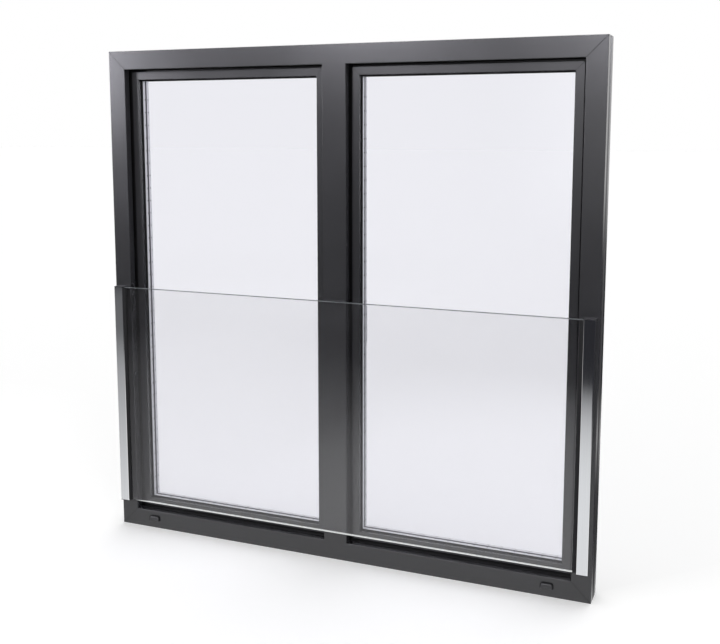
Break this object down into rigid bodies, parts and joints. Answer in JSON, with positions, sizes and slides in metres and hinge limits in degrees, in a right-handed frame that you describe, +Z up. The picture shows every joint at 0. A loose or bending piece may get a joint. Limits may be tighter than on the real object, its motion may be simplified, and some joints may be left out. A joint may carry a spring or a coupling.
{
  "type": "two-leaf window with glass fall guard",
  "caption": "Square dark grey aluminium window with side-hung glazed leaves, a flush mullion and a clear laminated glass fall guard held in slim clamp rails outside.",
  "frame": {"origin": "middle of the sill's underside, at half the frame's depth", "axes": "+X to the right as seen from outside, +Y from outside to the room, +Z up"},
  "size_m": [1.5, 0.1685, 1.5],
  "materials": {
    "anthracite_paint": "satin powder coat",
    "black_rubber": "matte",
    "drain_cap": "satin",
    "guard_glass": "clear laminated",
    "handle": "satin anodised",
    "hinge": "satin anodised",
    "insulating_strip": "matte",
    "interlayer": "clear film",
    "rail_base": "dark anodised",
    "rail_cover": "polished",
    "spacer": "matte",
    "window_glass": "clear"
  },
  "bodies": {
    "root": {"frame_head": "anthracite_paint", "frame_left_jamb": "anthracite_paint", "frame_mullion": "anthracite_paint", "frame_right_jamb": "anthracite_paint", "frame_sill": "anthracite_paint", "frame_thermal_break": "insulating_strip", "guard_glass_interlayer": "interlayer", "guard_glass_plies": "guard_glass", "left_drain_cap": "drain_cap", "left_frame_centre_gasket": "black_rubber", "left_handle_lever": "handle", "left_handle_rosette": "handle", "left_hinges": "hinge", "left_rail_base": "rail_base", "left_rail_cover": "rail_cover", "left_rail_end_caps": "rail_cover", "left_rail_gasket": "black_rubber", "left_sash_bottom_rail": "anthracite_paint", "left_sash_glass_panes": "window_glass", "left_sash_glazing_beads": "anthracite_paint", "left_sash_hinge_stile": "anthracite_paint", "left_sash_inner_gasket": "black_rubber", "left_sash_lock_stile": "anthracite_paint", "left_sash_outer_gasket": "black_rubber", "left_sash_spacers": "spacer", "left_sash_top_rail": "anthracite_paint", "right_drain_cap": "drain_cap", "right_frame_centre_gasket": "black_rubber", "right_handle_lever": "handle", "right_handle_rosette": "handle", "right_hinges": "hinge", "right_rail_base": "rail_base", "right_rail_cover": "rail_cover", "right_rail_end_caps": "rail_cover", "right_rail_gasket": "black_rubber", "right_sash_bottom_rail": "anthracite_paint", "right_sash_glass_panes": "window_glass", "right_sash_glazing_beads": "anthracite_paint", "right_sash_hinge_stile": "anthracite_paint", "right_sash_inner_gasket": "black_rubber", "right_sash_lock_stile": "anthracite_paint", "right_sash_outer_gasket": "black_rubber", "right_sash_spacers": "spacer", "right_sash_top_rail": "anthracite_paint"}
  },
  "joints": []
}
